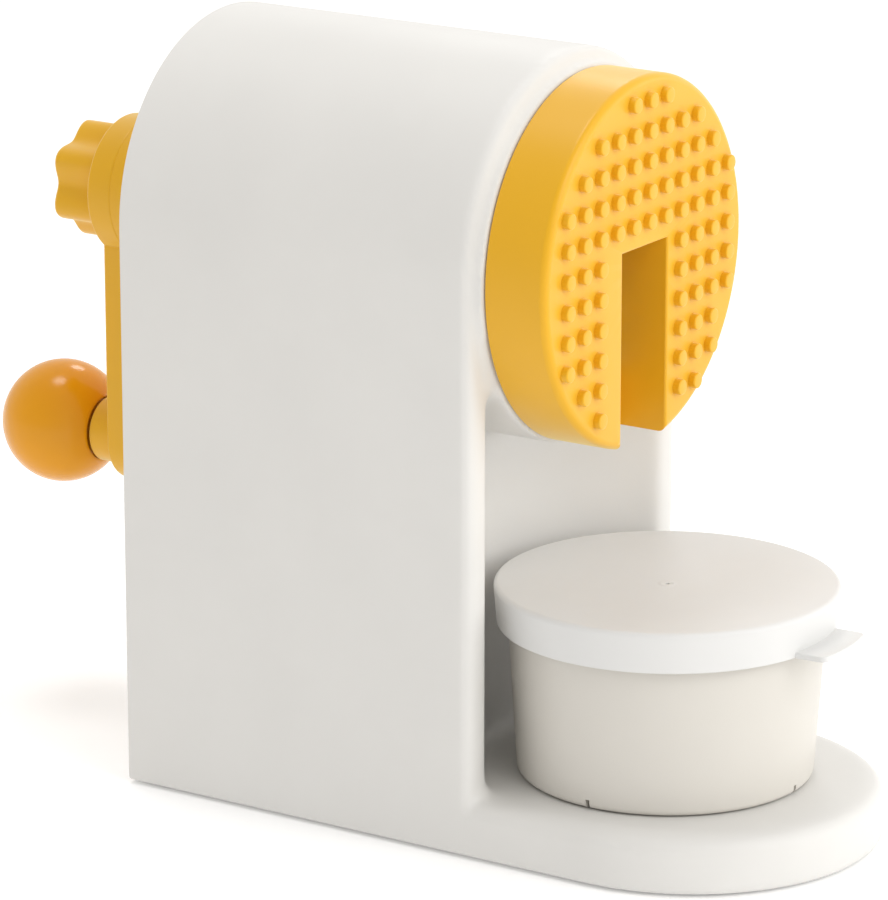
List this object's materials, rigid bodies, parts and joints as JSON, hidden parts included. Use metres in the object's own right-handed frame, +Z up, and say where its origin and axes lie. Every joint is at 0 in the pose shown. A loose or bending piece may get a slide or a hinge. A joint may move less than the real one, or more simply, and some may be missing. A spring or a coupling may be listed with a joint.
{
  "type": "potato ricer",
  "caption": "Countertop potato ricer: a hand crank drives a screw piston along a barrel and presses food through a plate and a chute into a lidded bowl.",
  "frame": {"origin": "middle of the bounding box, on the table surface under the feet", "axes": "+Z up; -Y towards the bowl and the front cap; +Y towards the crank and its ball; +X to the right when looking along +Y at the front cap"},
  "size_m": [0.1042, 0.2745, 0.207],
  "materials": {
    "housing_white": "satin moulded",
    "yellow_satin": "satin moulded",
    "yellow_gloss": "polished",
    "bowl_white": "satin moulded",
    "lid_white": "satin moulded",
    "foot_rubber": "matte",
    "seal_rubber": "matte silicone",
    "acetal_white": "machined or moulded acetal",
    "bush_brass": "turned",
    "plate_steel": "brushed",
    "hardware_steel": "bright zinc"
  },
  "bodies": {
    "housing": {"housing_shell": "housing_white", "back_cover": "housing_white", "bottom_cover": "housing_white", "foot_front_left": "foot_rubber", "foot_front_right": "foot_rubber", "foot_back_left": "foot_rubber", "foot_back_right": "foot_rubber", "back_screw_1": "hardware_steel", "back_screw_2": "hardware_steel", "back_screw_3": "hardware_steel", "back_screw_4": "hardware_steel", "bottom_screw_1": "hardware_steel", "bottom_screw_2": "hardware_steel", "bottom_screw_3": "hardware_steel", "bottom_screw_4": "hardware_steel", "barrel": "acetal_white", "barrel_end_plate": "acetal_white", "barrel_screw_1": "hardware_steel", "barrel_screw_2": "hardware_steel", "barrel_screw_3": "hardware_steel", "end_plate_screw_1": "hardware_steel", "end_plate_screw_2": "hardware_steel", "end_plate_screw_3": "hardware_steel", "key_bush": "acetal_white", "rear_bush": "bush_brass", "front_thrust_washer": "hardware_steel", "rear_thrust_washer": "hardware_steel"},
    "crank": {"crank_arm": "yellow_satin", "drive_tube": "hardware_steel", "drive_nut": "bush_brass", "knob_spindle": "hardware_steel"},
    "star": {"star_knob": "yellow_satin"},
    "ball": {"ball_knob": "yellow_gloss", "knob_plug": "yellow_gloss"},
    "press": {"piston": "acetal_white", "piston_seal": "seal_rubber", "piston_screw": "hardware_steel", "lead_screw": "hardware_steel"},
    "cap": {"front_cap": "yellow_satin", "ricer_plate": "plate_steel", "cap_seal": "seal_rubber"},
    "bowl": {"bowl": "bowl_white"},
    "lid": {"bowl_lid": "lid_white"}
  },
  "joints": [
    {"name": "crank_turn", "type": "hinge", "parent": "housing", "child": "crank", "pos_m": [0, 0.0957, 0.153], "axis": [0, -1, 0], "range_deg": [0, 1755]},
    {"name": "press_slide", "type": "slide", "parent": "housing", "child": "press", "axis": [0, -1, 0], "range_m": [0, 0.049]},
    {"name": "star_turn", "type": "hinge", "parent": "crank", "child": "star", "pos_m": [0, 0.104, 0.153], "axis": [0, 1, 0], "range_deg": [0, 720]},
    {"name": "ball_spin", "type": "hinge", "parent": "crank", "child": "ball", "pos_m": [0, 0.12, 0.0814], "axis": [0, 1, 0], "continuous": true},
    {"name": "cap_slide", "type": "slide", "parent": "housing", "child": "cap", "axis": [0, -1, 0], "range_m": [0, 0.03]},
    {"name": "bowl_slide", "type": "slide", "parent": "housing", "child": "bowl", "axis": [0, -1, 0], "range_m": [0, 0.12]},
    {"name": "lid_lift", "type": "slide", "parent": "bowl", "child": "lid", "axis": [0, 0, 1], "range_m": [0, 0.025]}
  ],
  "couplings": [
    {"joint": "press_slide", "follows": "crank_turn", "m_per_rad": 0.0015915}
  ]
}
